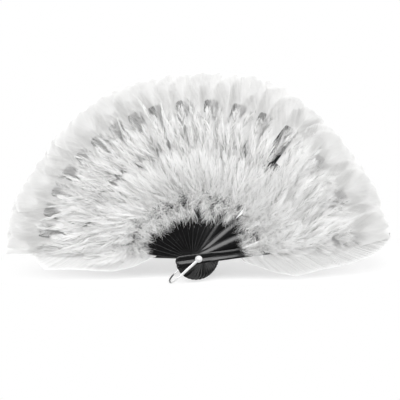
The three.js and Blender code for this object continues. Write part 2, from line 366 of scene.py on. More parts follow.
def blade_stations(widths):
    """The distances from the rivet at which a blade's sections are taken."""
    head_centre = widths[0] / 2 - head_reach
    head = [head_centre - widths[0] / 2 * math.cos(math.radians(a)) for a in (8, 18, 30, 44, 58, 74, 90)]
    shank = [head_centre + (belly_at - head_centre) * i / 8 for i in range(1, 9)]
    taper = [belly_at + (blade_reach - top_corner - belly_at) * i / 8 for i in range(1, 9)]
    top = [blade_reach - top_corner * (1 - math.sin(math.radians(a))) for a in (25, 50, 70, 84)]
    return head + shank + taper + top


def blade_section(along, widths, bevel):
    """Depth and width points round a blade: crowned face, bevelled edges, flat back."""
    half = half_width(along, widths)
    slope = min(bevel, half * 0.4)
    shares = [1 - slope / half, 0.55, 0.25, 0, -0.25, -0.55, slope / half - 1]
    face = [(-blade_face + face_crown * u * u, u * half) for u in shares]
    edge = -blade_face + face_crown
    round_low = [(edge + slope * 0.25, -half + slope * 0.15), (edge + slope * 0.4, -half),
                 (blade_face - slope * 0.15, -half), (blade_face, -half + slope * 0.2)]
    round_high = [(d, -w) for d, w in reversed(round_low)]
    return [(along, d, w) for d, w in round_high + face + round_low]


def finger_panel(side):
    """The raised panel of a guard, a low pillow with rounded sides, facing -Y or +Y."""
    rings = []
    shape = ((0.0, 1.0), (0.55, 0.97), (0.85, 0.88), (0.97, 0.72), (1.0, 0.45), (1.0, 0.15))
    for share in (0.0, 0.02, 0.06, 0.12, 0.2, 0.3, 0.4, 0.5, 0.6, 0.7, 0.8, 0.9, 0.95, 0.98, 1.0):
        along = panel_span[0] + (panel_span[1] - panel_span[0]) * share
        foot = half_width(along, guard_widths) - panel_inset
        end = min(1.0, share / 0.4, (1 - share) / 0.2)
        rise = panel_height * smooth(end)
        ring = [(along, -blade_face + panel_root, foot)]
        ring += [(along, -blade_face - rise * h + panel_dip * (1 - end), foot * w) for h, w in shape]
        ring += [(along, y, -z) for x, y, z in reversed(ring)]
        rings.append([(x, y * side, z) for x, y, z in ring])
    return lofted("panel", rings)


def face_bulge(k, across):
    """The square root of the share by which blade k's face falls away at a place across it, -1 to 1."""
    if k == 0:
        return 0.8 * math.sqrt(smooth(min(1.0, max(0.0, (across + 0.8) / 0.9))))
    return across * (0.45 + 0.55 * min(1.0, max(0.0, (9 - k) / 5)))


def blade_mesh(widths, bevel):
    rings = [blade_section(along, widths, bevel) for along in blade_stations(widths)]
    return cut_or_joined(lofted("blade", rings), round_bar(bore_radius, bore_reach, bore_sides), "DIFFERENCE")


def painted(strand, name, out="Fac"):
    """What a mesh keeps at its points under a name."""
    return strand.node("ShaderNodeAttribute", {"attribute_name": name}, None, out)


def mottle(place, scale, detail):
    return place.node("ShaderNodeTexNoise", None, {"Vector": place, "Scale": scale, "Detail": detail}, "Fac")


def blended(share, first, second):
    return share.node("ShaderNodeMix", {"data_type": "RGBA"},
                      {"Factor_Float": share, "A_Color": first, "B_Color": second}, "Result_Color")


black_gloss, gloss = new_material("black_gloss_plastic")
drag = gloss.node("ShaderNodeMapping", None,
                  {"Vector": painted(gloss, "blade", "Vector"), "Scale": (25.0, 400.0, 900.0)})
streak = mottle(drag, 1.0, 4.0)
scuff = mottle(gloss.node("ShaderNodeTexCoord", None, None, "Object"), 140.0, 5.0)
tint = blended(scuff, (0.0012, 0.0012, 0.0013, 1), (0.004, 0.004, 0.0044, 1))
bulge = painted(gloss, "bulge")
across = painted(gloss, "across")
# Painted edge highlight: each blade's edges are coloured lighter, as if catching light, more on some blades than on
# others.
edge_glint = eased(across * across, 0.72, 1.0) * painted(gloss, "use")
lines = eased(streak, 0.5, 0.75)
glinted_and_grained_black = blended(edge_glint * 0.7 + lines * 0.3, tint, (0.06, 0.06, 0.062, 1))
dent = gloss.node("ShaderNodeBump", None,
                  {"Strength": 1.0, "Distance": 0.0034, "Height": streak * 0.02 - bulge * bulge})
finish_material(gloss, gloss.node("ShaderNodeBsdfPrincipled", None, {
    "Base Color": glinted_and_grained_black, "Roughness": streak * 0.1 + scuff * 0.08 + 0.16, "Specular IOR Level": 0.85,
    "Normal": dent}))

plain_blade = blade_mesh(blade_widths, blade_bevel)
guards = {}
for k, side in ((0, 1), (last_blade, -1)):
    guards[k] = cut_or_joined(blade_mesh(guard_widths, guard_bevel), finger_panel(side), "UNION")
for k in range(blade_count):
    mesh = guards.get(k, plain_blade).copy()
    local = np.array([v.co for v in mesh.vertices])
    shares = [z / half_width(x, widths_of(k)) for x, y, z in local]
    # How strongly this blade's edges carry the painted edge highlight.
    sheen_share_and_wear = random.Random(700 + k).random() ** 2
    mesh.attributes.new("blade", "FLOAT_VECTOR", "POINT").data.foreach_set("vector", local.ravel())
    for name, values in (("across", shares), ("use", [sheen_share_and_wear] * len(shares)),
                         ("bulge", [face_bulge(k, u) for u in shares])):
        mesh.attributes.new(name, "FLOAT", "POINT").data.foreach_set("value", values)
    mesh.vertices.foreach_set("co", placed(local, k).ravel())
    mesh.update()
    mesh.shade_smooth()
    mesh.set_sharp_from_angle(angle=blade_crease)
    mesh.materials.clear()
    mesh.materials.append(black_gloss)
    stick = put(f"stick_{k + 1:02d}", mesh)
    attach(stick, body_name(k))
    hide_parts(blade_node(k))

# Rivet and washers: a steel pin with a domed head at each end, and a pressed washer under each head,
# all bright-plated. The bail has the same plating, with painted shade darkening the back of its bow.
metal_gap = 0.00015
metal_sheet = 0.0012
metal_rim = 0.0003
metal_crease = math.radians(40)
pin_radius = 0.002
head_foot = 0.0028
head_radius = 0.003
head_rise = 0.0014
washer_radius = 0.0046
bail_angle = math.radians(222)
bail_way = (math.cos(bail_angle), 0.0, math.sin(bail_angle))
washer_from = last_blade / 2 * layer_pitch + blade_face + metal_gap
washer_to = washer_from + metal_sheet
eye_from = washer_to + metal_gap
eye_to = eye_from + metal_sheet
rivet_head_from = eye_to + metal_gap

plated, metal = new_material("bright_plating")
where = metal.node("ShaderNodeTexCoord", None, None, "Object")
sheen_share_and_wear = mottle(where, 700.0, 4.0)
grain = mottle(where, 2600.0, 2.0)
out_along = metal.node("ShaderNodeVectorMath", {"operation": "DOT_PRODUCT"},
                       {"Vector": where, "Vector_001": bail_way}, "Value")
# Painted shade: the back of the bail's bow is coloured dark where it lies in shadow.
bow_shade = eased(out_along, 0.036, 0.042) * eased(part_of(where, "Y"), -0.014, -0.006)
shade = blended(sheen_share_and_wear, (0.92, 0.92, 0.925, 1), (0.98, 0.98, 0.985, 1))
shade = blended(bow_shade, shade, (0.05, 0.05, 0.052, 1))
pits = metal.node("ShaderNodeBump", None, {"Strength": 0.12, "Distance": 0.00005, "Height": grain})
finish_material(metal, metal.node("ShaderNodeBsdfPrincipled", None, {
    "Base Color": shade, "Metallic": 0.35, "Roughness": sheen_share_and_wear * 0.16 + 0.26, "Normal": pits}))


def turned(name, profile, closed):
    """A profile of (radius, depth) turned about the rivet's axis, as a ring or with closed ends."""
    sides = 40
    size = len(profile)
    points, faces = [], []
    for i in range(sides):
        a = 2 * math.pi * i / sides
        points += [(r * math.cos(a), y, r * math.sin(a)) for r, y in profile]
        here, there = i * size, (i + 1) % sides * size
        for j in range(size if closed else size - 1):
            after = (j + 1) % size
            faces.append((here + j, here + after, there + after, there + j))
    return mesh_of(name, points, faces)


def metal_piece(name, mesh, body):
    mesh.shade_smooth()
    mesh.set_sharp_from_angle(angle=metal_crease)
    mesh.materials.clear()
    mesh.materials.append(plated)
    piece = put(name, mesh)
    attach(piece, body)
    return piece


dome = [(head_radius * math.cos(math.radians(a)), rivet_head_from + head_rise * math.sin(math.radians(a)))
        for a in (0, 15, 30, 45, 60, 75)]
upper = [(pin_radius, rivet_head_from), (head_foot, rivet_head_from)] + dome
upper += [(1e-6, rivet_head_from + head_rise)]
pin = metal_piece("rivet", turned("rivet", [(r, -y) for r, y in reversed(upper)] + upper, False), "front_leaf")
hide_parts("rivet_pin")
for name, side in (("front_washer", -1), ("back_washer", 1)):
    low, high, rim = washer_from * side, washer_to * side, metal_rim * side
    profile = [(bore_radius, low), (washer_radius - metal_rim, low), (washer_radius, low + rim),
               (washer_radius, high - rim), (washer_radius - metal_rim, high), (bore_radius + metal_rim, high),
               (bore_radius, high - rim)]
    disc = metal_piece(name + "_disc", turned(name, profile, True), "front_leaf")
    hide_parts(name)

# Bail: one plated steel wire bent to a U round the heads, its two arms rolled flat and ended in eyes
# that swing on the rivet outside the washers.
bail_reach = 0.048
bail_bend = 0.013
bail_wire = 0.002
arm_width = 0.0034
arm_length = 0.029
eye_radius = 0.0037
wire_sides = 16


def bail_mesh():
    arm = (eye_from + eye_to) / 2
    out = [(x, -arm, 0.0, arm_width, metal_sheet) for x in (0.0, 0.006, 0.015, 0.024, arm_length)]
    for share in (0.25, 0.5, 0.75, 1.0):
        out.append((arm_length + arm_width * share, -arm, 0.0, arm_width + (bail_wire - arm_width) * smooth(share),
                    metal_sheet + (bail_wire - metal_sheet) * smooth(share)))
    for degrees in range(0, 91, 10):
        a = math.radians(degrees)
        out.append((bail_reach - bail_bend * (1 - math.sin(a)), -arm + bail_bend * (1 - math.cos(a)), a,
                    bail_wire, bail_wire))
    home = [(x, -y, math.pi - a, w, t) for x, y, a, w, t in reversed(out)]
    rings = []
    for x, y, heading, wide, thick in out + home:
        ring = []
        for i in range(wire_sides):
            around = 2 * math.pi * i / wire_sides
            aside, rise = thick / 2 * math.cos(around), wide / 2 * math.sin(around)
            ring.append((x - aside * math.sin(heading), y + aside * math.cos(heading), rise))
        rings.append(ring)
    wire = lofted("bail", rings)
    for side in (-1, 1):
        low, high, rim = eye_from * side, eye_to * side, metal_rim * side
        profile = [(1e-6, low), (eye_radius - metal_rim, low), (eye_radius, low + rim),
                   (eye_radius, high - rim), (eye_radius - metal_rim, high), (1e-6, high)]
        wire = cut_or_joined(wire, turned("eye", profile, False), "UNION")
    wire = cut_or_joined(wire, round_bar(bore_radius, rivet_head_from, 32), "DIFFERENCE")
    c, s = math.cos(bail_angle), math.sin(bail_angle)
    for v in wire.vertices:
        x, y, z = v.co
        v.co = (x * c - z * s, y, x * s + z * c)
    return wire


bail = metal_piece("wire_bail", bail_mesh(), "bail")
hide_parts("bail")

# Ribbon: black satin tape glued behind each blade, so that it folds between them and stops the
# spread. Each stretch runs from the middle of one gap to the middle of the next.
ribbon_at = 0.153
ribbon_width = 0.010
ribbon_seat = blade_face + 0.00015
ribbon_glue = 0.004
ribbon_hem = 0.01
ribbon_rows = 22
ribbon_lanes = 4
satin_black, satin = new_material("black_satin")
lay = satin.node("ShaderNodeUVMap", {"uv_map": "cloth"}, None, "UV")
weft = satin.node("ShaderNodeTexWave", {"wave_type": "BANDS", "bands_direction": "X"},
                  {"Vector": lay, "Scale": 900.0, "Distortion": 0.4, "Detail": 1.0}, "Fac")
warp = satin.node("ShaderNodeTexWave", {"wave_type": "BANDS", "bands_direction": "Y"},
                  {"Vector": lay, "Scale": 1400.0, "Distortion": 0.3, "Detail": 1.0}, "Fac")
weave = weft * 0.4 + warp * 0.6
tint = blended(weave, (0.006, 0.006, 0.007, 1), (0.02, 0.02, 0.023, 1))
ridge = satin.node("ShaderNodeBump", None, {"Strength": 0.4, "Distance": 0.00006, "Height": weave})
finish_material(satin, satin.node("ShaderNodeBsdfPrincipled", None, {
    "Base Color": tint, "Roughness": weave * 0.2 + 0.35, "Normal": ridge}))


def gap_after(k):
    return blade_angle(k + 1) - blade_angle(k)


for k in range(blade_count):
    hold = math.asin(half_width(ribbon_at, widths_of(k)) / ribbon_at) + ribbon_glue
    before = gap_after(k - 1) / 2 if k else hold - ribbon_hem
    after = gap_after(k) / 2 if k < last_blade else hold - ribbon_hem
    points, faces, lay = [], [], []
    for i in range(ribbon_rows + 1):
        turn = -before + (before + after) * i / ribbon_rows
        slope = max(0.0, abs(turn) - hold) / max(1e-6, (after if turn > 0 else before) - hold)
        shift = math.copysign(layer_pitch / 2 * slope, turn) if abs(turn) > hold else 0.0
        for j in range(ribbon_lanes + 1):
            radius = ribbon_at + ribbon_width * (j / ribbon_lanes - 0.5)
            points.append((radius * math.cos(turn), ribbon_seat + shift, radius * math.sin(turn)))
            lay.append((ribbon_at * turn, ribbon_width * j / ribbon_lanes))
    for i in range(ribbon_rows):
        for j in range(ribbon_lanes):
            a = i * (ribbon_lanes + 1) + j
            faces.append((a, a + 1, a + ribbon_lanes + 2, a + ribbon_lanes + 1))
    mesh = bpy.data.meshes.new(f"ribbon_{k + 1:02d}")
    mesh.from_pydata([tuple(p) for p in placed(points, k)], [], faces)
    cloth = mesh.uv_layers.new(name="cloth")
    cloth.data.foreach_set("uv", np.array([lay[loop.vertex_index] for loop in mesh.loops]).ravel())
    mesh.shade_smooth()
    mesh.materials.append(satin_black)
    tape = put(f"ribbon_{k + 1:02d}", mesh)
    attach(tape, body_name(k))
    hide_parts("link_ribbon")

# Flat feathers: broad white vanes on each blade, one half of them glued to its face and the other half
# behind it. Each vane is two rows of barbs along a shaft, grown by geometry nodes from its line.


def feather_tree():
    """Barbs on both sides of every shaft line, and the shafts themselves, as one mesh."""
    tree = bpy.data.node_groups.new("feather_barbs", "GeometryNodeTree")
    entries = {
        "NodeSocketGeometry": ("Shafts",),
        "NodeSocketFloat": ("Barb Pitch", "Barb Width", "Tip Taper", "Angle Spread", "Length Spread", "Clump",
                            "Clump Size", "Gather", "Sweep", "Droop", "Lift", "Shingle", "Tangle", "Tangle Size",
                            "Shaft Radius", "Back Stop"),
        "NodeSocketInt": ("Barb Steps", "Barbs a Lock", "Seed"),
        "NodeSocketMaterial": ("Barb Material", "Shaft Material")}
    for kind, names in entries.items():
        for name in names:
            tree.interface.new_socket(name, in_out="INPUT", socket_type=kind)
    tree.interface.new_socket("Feathers", in_out="OUTPUT", socket_type="NodeSocketGeometry")
    s = Strand(tree)
    given = {o.name: Strand(tree, o) for o in tree.nodes.new("NodeGroupInput").outputs if o.name}
    vector = "FLOAT_VECTOR"

    def read(name, kind="FLOAT"):
        return s.node("GeometryNodeInputNamedAttribute", {"data_type": kind}, {"Name": name}, "Attribute")

    def keep(geometry, name, value, kind="FLOAT"):
        return s.node("GeometryNodeStoreNamedAttribute", {"data_type": kind, "domain": "POINT"},
                      {"Geometry": geometry, "Name": name, "Value": value})

    def at_point(index, value, kind="FLOAT"):
        return s.node("GeometryNodeFieldAtIndex", {"data_type": kind, "domain": "POINT"},
                      {"Index": index, "Value": value})

    def chance(low, high, draw):
        return s.node("FunctionNodeRandomValue", {"data_type": "FLOAT"},
                      {"Min_001": low, "Max_001": high, "Seed": given["Seed"] + draw}, "Value_001")

    def position():
        return s.node("GeometryNodeInputPosition")

    def moved(geometry, offset):
        return s.node("GeometryNodeSetPosition", None, {"Geometry": geometry, "Offset": offset})

    def vector_of(x, y, z):
        return s.node("ShaderNodeCombineXYZ", None, {"X": x, "Y": y, "Z": z})

    def sway(place, scale):
        noise = s.node("ShaderNodeTexNoise", None, {"Vector": place, "Scale": scale, "Detail": 1.0}, "Color")
        return noise - (0.5, 0.5, 0.5)

    def wave(kind, value):
        return s.node("ShaderNodeMath", {"operation": kind}, {"Value": value})

    def cross(a, b):
        return s.node("ShaderNodeVectorMath", {"operation": "CROSS_PRODUCT"}, {"Vector": a, "Vector_001": b})

    def unit(a):
        return s.node("ShaderNodeVectorMath", {"operation": "NORMALIZE"}, {"Vector": a})

    lines = s.node("GeometryNodeMeshToCurve", None, {"Mesh": given["Shafts"]})
    even = s.node("GeometryNodeResampleCurve", {"mode": "LENGTH"}, {"Curve": lines, "Length": given["Barb Pitch"]})
    tangent = s.node("GeometryNodeInputTangent")
    index = s.node("GeometryNodeInputIndex")
    own_index = s.node("GeometryNodeSplineParameter", None, None, "Index")
    outward = s.node("GeometryNodeSplineParameter", None, None, "Factor")
    on_shaft = s.node("GeometryNodeSplineLength", None, None, "Point Count")
    root = position()
    face = read("face", vector)
    beside = unit(cross(face, tangent))
    lock_size = given["Barbs a Lock"]
    parts = []
    for number, side in enumerate((-1.0, 1.0)):
        # Where each barb would end by itself, and the end of the barb in the middle of its lock.
        locks = s.node("ShaderNodeTexNoise", {"noise_dimensions": "1D"},
                       {"W": index * given["Clump Size"] + (given["Seed"] * 7.31 + 50.0 * number),
                        "Scale": 1.0, "Detail": 1.0}, "Fac") - 0.5
        angle = read("slant") + locks * given["Clump"] + chance(-1.0, 1.0, 11 + number) * given["Angle Spread"]
        rise = (chance(-1.0, 1.0, 23 + number) + locks) * given["Lift"]
        heading = unit(tangent * wave("COSINE", angle) + beside * (wave("SINE", angle) * side) + face * rise)
        share = read("left") if side < 0 else read("right")
        span = read("reach") * share * (1.0 - chance(0.0, 1.0, 37 + number) * given["Length Spread"])
        loose_end = root + heading * span
        lock = wave("FLOOR", (own_index + locks * lock_size) / lock_size)
        middle = s.node("ShaderNodeClamp", None,
                        {"Value": (lock + 0.5) * lock_size, "Min": 0.0, "Max": on_shaft - 1.0})
        leader = index - own_index + wave("FLOOR", middle)
        lock_end = at_point(leader, loose_end, vector)
        pull = given["Gather"] * (1.0 - chance(0.0, 0.5, 71 + number))
        barb = loose_end * (1.0 - pull) + lock_end * pull - root
        length = s.node("ShaderNodeVectorMath", {"operation": "LENGTH"}, {"Vector": barb}, "Value")
        dull = at_point(leader, chance(0.0, 1.0, 53 + number))
        points = keep(even, "heading", unit(barb), vector)
        points = keep(points, "span", length)
        # Each lock's tone: a random greying scaled per shaft. On the plumes this scale also carries painted shade.
        points = keep(points, "tone", 1.0 - dull * dull * read("fresh"))
        points = keep(points, "own", chance(0.0, 1.0, 59 + number))
        points = keep(points, "outward", outward)
        # One barb of length 1 and no width, swept and drooping, set on every point.
        strip = s.node("GeometryNodeMeshGrid", None,
                       {"Size X": 1.0, "Size Y": 2.0, "Vertices X": given["Barb Steps"], "Vertices Y": 2})
        strip = keep(strip, "along", part_of(position(), "X") + 0.5)
        strip = keep(strip, "edge", part_of(position(), "Y"))
        along = read("along")
        bow = along * along
        bent = vector_of(along, bow * given["Sweep"] * (-side), bow * given["Droop"] * -1.0)
        strip = s.node("GeometryNodeSetPosition", None, {"Geometry": strip, "Position": bent})
        turn = s.node("FunctionNodeAxesToRotation", {"primary_axis": "X", "secondary_axis": "Z"},
                      {"Primary Axis": read("heading", vector), "Secondary Axis": face})
        size = vector_of(read("span"), read("span"), read("span"))
        barbs = s.node("GeometryNodeInstanceOnPoints", None,
                       {"Points": points, "Instance": strip, "Rotation": turn, "Scale": size})
        barbs = s.node("GeometryNodeRealizeInstances", None, {"Geometry": barbs})
        # Tangled towards the tips, given its width, and folded forward where it would pass the blade.
        drift = sway(position() + (1.0, 1.0, 1.0), given["Tangle Size"])
        stray = sway(vector_of(read("own") * 91.0, along * 1.3, read("own") * 37.0), 1.0)
        barbs = moved(barbs, (drift + stray) * (bow * read("span") * given["Tangle"]))
        breadth = unit(cross(face, read("heading", vector)) + face * given["Shingle"])
        taper = (1.0 - bow * given["Tip Taper"]) * given["Barb Width"] * read("breadth") * 0.5
        barbs = moved(barbs, breadth * (read("edge") * taper))
        sunk = s.node("ShaderNodeMath", {"operation": "MAXIMUM"},
                      {"Value": part_of(position(), "Y") - given["Back Stop"], "Value_001": 0.0})
        barbs = moved(barbs, vector_of(0.0, sunk * -1.4, 0.0))
        parts.append(s.node("GeometryNodeSetMaterial", None,
                            {"Geometry": barbs, "Material": given["Barb Material"]}))
    ring = s.node("GeometryNodeCurvePrimitiveCircle", None, {"Resolution": 5, "Radius": 1.0})
    shafts = s.node("GeometryNodeCurveToMesh", None,
                    {"Curve": lines, "Profile Curve": ring, "Scale": (1.06 - outward) * given["Shaft Radius"],
                     "Fill Caps": True})
    parts.append(s.node("GeometryNodeSetMaterial", None,
                        {"Geometry": shafts, "Material": given["Shaft Material"]}))
    whole = s.node("GeometryNodeJoinGeometry", None, {"Geometry": parts})
    result = tree.nodes.new("NodeGroupOutput")
    tree.links.new(whole.socket, result.inputs[0])
    return tree


barbs = feather_tree()


def feathers(name, shafts, sizes):
    """One mesh of feathers grown on shafts: dicts of points, reach, slant, face, left, right, breadth, fresh."""
    points, edges = [], []
    values = {key: [] for key in ("reach", "slant", "left", "right", "breadth", "fresh", "face")}
    for shaft in shafts:
        first = len(points)
        count = len(shaft["points"])
        points += [tuple(p) for p in shaft["points"]]
        edges += [(first + i, first + i + 1) for i in range(count - 1)]
        for key, store in values.items():
            given = shaft.get(key, 1.0)
            store += list(given) if np.ndim(given) else [given] * count
    lines = bpy.data.meshes.new(name + "_shafts")
    lines.from_pydata(points, edges, [])
    faces = lines.attributes.new("face", "FLOAT_VECTOR", "POINT")
    faces.data.foreach_set("vector", np.array(values.pop("face")).ravel())
    for key, store in values.items():
        lines.attributes.new(key, "FLOAT", "POINT").data.foreach_set("value", store)
    host = put(name + "_shafts", lines)
    modifier = host.modifiers.new("barbs", "NODES")
    modifier.node_group = barbs
    for item in barbs.interface.items_tree:
        if item.in_out == "INPUT" and item.name in sizes:
            modifier[item.identifier] = sizes[item.name]
    mesh = bpy.data.meshes.new_from_object(host.evaluated_get(bpy.context.evaluated_depsgraph_get()))
    bpy.data.objects.remove(host)
    for spare in ("heading", "span", "own", "edge", "face", *values):
        if spare in mesh.attributes:
            mesh.attributes.remove(mesh.attributes[spare])
    mesh.name = name
    return put(name, mesh)


def feather_material(name, pale, deep, clear, glow, tip_edge, root=None, root_glow=None, cream=0.005):
    """White keratin: matt, uneven from barb to barb, with painted shade greying the root of the feather and the
    lower part of the barbs, palest at the barbs' tips, and letting some light through."""
    def off_white(level):
        return level, level, level - cream, 1

    material, s = new_material(name)
    along = painted(s, "along")
    tip = s.node("ShaderNodeMath", {"operation": "POWER"}, {"Value": along, "Value_001": tip_edge})
    clear_of_root_shade = eased(painted(s, "outward") + along * 0.15, 0.66, 0.84)
    middle = blended(clear_of_root_shade, off_white(deep if root is None else root), off_white(deep))
    shade = blended(painted(s, "tone") * (1 - tip) * 0.8 + tip, middle, off_white(pale))
    matt = s.node("ShaderNodeBsdfPrincipled", None,
                  {"Base Color": shade, "Roughness": 0.75, "Specular IOR Level": 0.2})
    thin = s.node("ShaderNodeBsdfTranslucent", None, {"Color": off_white(clear)})
    start = glow if root_glow is None else root_glow
    through = (clear_of_root_shade * (glow - start) + start) * (1 - tip)
    finish_material(s, s.node("ShaderNodeMixShader", None, {"Fac": through, "Shader": matt, "Shader_001": thin}))
    return material


# The vanes' root colour is painted shade: greyer where their roots lie under the plumes and the blades before them.
vane_white = feather_material("white_vane", pale=0.92, deep=0.8, clear=0.92, glow=0.4, tip_edge=14.0,
                              root=0.28, root_glow=0.65)
quill_white = feather_material("white_quill", pale=0.95, deep=0.9, clear=0.95, glow=0.15, tip_edge=1.0, cream=0.01)

splay_at = 0.140
splay_ease = 0.02
vane_start = 0.110
vane_half = 0.027
vane_blunt = 0.2
vane_sweep = 0.12
vane_seat = blade_face + 0.0001
vane_curl = (-0.004, 0.002)
curl_from = 0.062
shaft_aside = 0.0015
shaft_steps = 22
tip_gap = 0.0015
root_slant, tip_slant = 52, 22
bare_blade = 3
bare_start = 0.166
back_start = 0.118
vane_hems = {0: 0.009, last_blade: 0.0015}
outer_turns = {0: math.radians(-1.2), last_blade: math.radians(0.6)}
face_breadth = (1.15, 1.45)
back_breadth = 1.0
rim_breadth = 2.2
thick_between = (0.190, 0.210)
least_barb, most_barb = 0.0012, 0.08
rim_spread = 0.0015
rim_angles = (6, 20, 36, 48, 57, 70, 80, 92, 108, 125, 142, 150, 163, 176)
rim_radii = (0.249, 0.244, 0.2395, 0.239, 0.243, 0.247, 0.242, 0.240, 0.243, 0.243, 0.2405, 0.241, 0.245, 0.246)
to_front = (0.0, -1.0, 0.0)
vane_grain = {
    "Barb Pitch": 0.00042, "Barb Width": 0.00019, "Tip Taper": 0.1, "Angle Spread": 0.015, "Length Spread": 0.008,
    "Clump": 0.06, "Clump Size": 0.10, "Gather": 0.0, "Sweep": vane_sweep, "Droop": 0.0, "Lift": 0.0,
    "Shingle": 0.2, "Tangle": 0.006, "Tangle Size": 40.0, "Shaft Radius": 0.00022, "Back Stop": 1.0,
    "Barb Steps": 5, "Barbs a Lock": 8, "Barb Material": vane_white, "Shaft Material": quill_white}


def vane_edge(share, behind):
    """Half the width of a vane at a share of its length: broad from its root behind a blade, and slim at
    first on its face. Both are blunt."""
    if share >= 1:
        return 0.0
    blunt = math.sqrt(max(0.0, 1 - max(0.0, (share - 1 + vane_blunt) / vane_blunt) ** 2))
    if behind:
        return vane_half * (0.45 + 0.55 * smooth(min(1.0, max(0.0, share / 0.5)))) * blunt
    return vane_half * (0.35 + 0.65 * min(1.0, max(0.0, share / 0.92)) ** 1.5) * blunt


def barb_reach(start, slope, length, edge):
    """The length of a barb that leaves the shaft at start, sweeps forward and ends on the vane's outline."""
    low, high = 0.0, most_barb
    slope -= math.atan(vane_sweep)
    for _ in range(22):
        middle = (low + high) / 2
        share = (start + middle * math.cos(slope)) / length
        if share < 1 and middle * math.sin(slope) <= edge(share):
            low = middle
        else:
            high = middle
    return max(low, least_barb)


def vane_shaft(k, turn, behind, chance):
    """A vane of blade k, on its face or behind it, whose tip lies off the blade's line by an angle."""
    root = back_start if behind else bare_start if k == bare_blade else vane_start
    rim = float(np.interp(math.degrees(blade_angle(k) + turn), rim_angles, rim_radii))
    rim += chance.uniform(-rim_spread, rim_spread)
    across, out = rim * math.sin(turn), rim * math.cos(turn) - splay_at
    heading = math.atan2(across, out)
    run = math.hypot(across, out)
    length = run + splay_at - root
    curl = chance.uniform(*vane_curl)
    seat = vane_seat if behind else -vane_seat - chance.uniform(0.0, 0.0002)
    thin = back_breadth if behind else chance.uniform(*face_breadth)
    line, lengths, slopes = [], [], []
    for i in range(shaft_steps):
        start = (length - tip_gap) * i / (shaft_steps - 1)
        past = start - (splay_at - root)
        bend = max(0.0, 0.5 * (past + math.sqrt(past * past + splay_ease ** 2)) - splay_ease / 2)
        outer = max(0.0, (past - curl_from) / (run - curl_from))
        line.append((splay_at + past * math.cos(heading), seat + curl * outer ** 2,
                     bend * math.sin(heading) + math.copysign(shaft_aside, turn)))
        slope = math.radians(root_slant + (tip_slant - root_slant) * (start / length))
        lengths.append(barb_reach(start, slope, length, lambda share: vane_edge(share, behind)))
        slopes.append(slope)
    shaft = {"points": placed(line, k), "reach": lengths, "slant": slopes, "face": [to_front] * shaft_steps,
             "breadth": np.interp([p[0] for p in line], thick_between, (thin, rim_breadth)), "fresh": 0.35}
    if k in vane_hems:
        inward = turn if k == 0 else -turn
        shaft["left" if k == 0 else "right"] = min(1.0, (vane_hems[k] + rim * max(0.0, inward)) / vane_half)
    return shaft


for k in range(blade_count):
    chance = random.Random(100 + k)
    turns = []
    if k:
        before = gap_after(k - 1)
        turns += [] if k > wide_gaps else [(-before * 3 / 8, True)]
        turns += [(-before / 8, False)]
    else:
        turns += [(outer_turns[k], False)]
    if k < last_blade:
        after = gap_after(k)
        turns += [] if k >= wide_gaps else [(after / 8, False)]
        turns += [(after * 3 / 8, True)]
    else:
        turns += [(outer_turns[k], False)]
    shafts = [vane_shaft(k, turn, behind, chance) for turn, behind in turns]
    vanes = feathers(f"vanes_{k + 1:02d}", shafts, {**vane_grain, "Seed": k})
    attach(vanes, body_name(k))
    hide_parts(f"flat_feathers_{k + 1:02d}")

# Guard feathers: one long broad vane along each guard, glued behind the front one and before the back
# one, that hangs below it as a thin smooth skirt.
skirt_start = 0.050
skirt_ends = {0: 0.249, last_blade: 0.240}
skirt_seats = {0: blade_face + 0.0002, last_blade: -blade_face - 0.00035}
skirt_steps = 40
skirt_root_slant, skirt_tip_slant = 62, 22
upper_share = 0.35
hang = {
    0: ((0.052, 0.068, 0.095, 0.122, 0.158, 0.196, 0.225, 0.241, 0.251),
        (0.010, 0.017, 0.031, 0.040, 0.036, 0.033, 0.026, 0.017, 0.002)),
    last_blade: ((0.050, 0.061, 0.080, 0.108, 0.158, 0.194, 0.204, 0.212, 0.246),
                 (0.004, 0.007, 0.018, 0.025, 0.023, 0.024, 0.015, 0.003, 0.002)),
}
# Painted shade: the skirts' barbs are greyer below their pale tips, the front one most, as they hang where little
# light reaches them from below.
shaded_skirt_whites = {
    0: feather_material("shaded_front_skirt", pale=0.95, deep=0.46, clear=0.7, glow=0.4, tip_edge=10.0),
    last_blade: feather_material("shaded_back_skirt", pale=0.95, deep=0.6, clear=0.8, glow=0.32, tip_edge=10.0),
}
skirt_grain = {"Barb Pitch": 0.00036, "Barb Width": 0.0003, "Clump": 0.02, "Angle Spread": 0.006, "Tangle": 0.0,
               "Barbs a Lock": 1}
for k, (radii, drops) in hang.items():
    length = skirt_ends[k] - skirt_start
    line, lengths, slopes = [], [], []

    def skirt(share):
        return float(np.interp(skirt_start + length * share, radii, drops))

    for i in range(skirt_steps):
        share = i / (skirt_steps - 1)
        slope = math.radians(skirt_root_slant + (skirt_tip_slant - skirt_root_slant) * share)
        line.append((skirt_start + length * share, skirt_seats[k], 0.0))
        lengths.append(barb_reach(share * length * 0.999, slope, length, skirt))
        slopes.append(slope)
    shaft = {"points": placed(line, k), "reach": lengths, "slant": slopes, "face": [to_front] * skirt_steps,
             "right" if k == 0 else "left": upper_share}
    skirts = feathers(f"guard_vane_{k + 1:02d}", [shaft],
                      {**vane_grain, **skirt_grain, "Barb Material": shaded_skirt_whites[k], "Seed": 200 + k})
    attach(skirts, body_name(k))

# Down: fluffy plumes glued over the middle of each blade. Long ones, whose barbs cling together in
# pointed locks, lie outwards over the flat feathers on a flat bed of others, and short downy ones spill
# towards the rivet.
# Painted shade: the down's barbs are coloured greyer towards their bases, where they lie in each other's shadow.
down_white = feather_material("white_down", pale=0.99, deep=0.34, clear=0.98, glow=0.12, tip_edge=0.8)
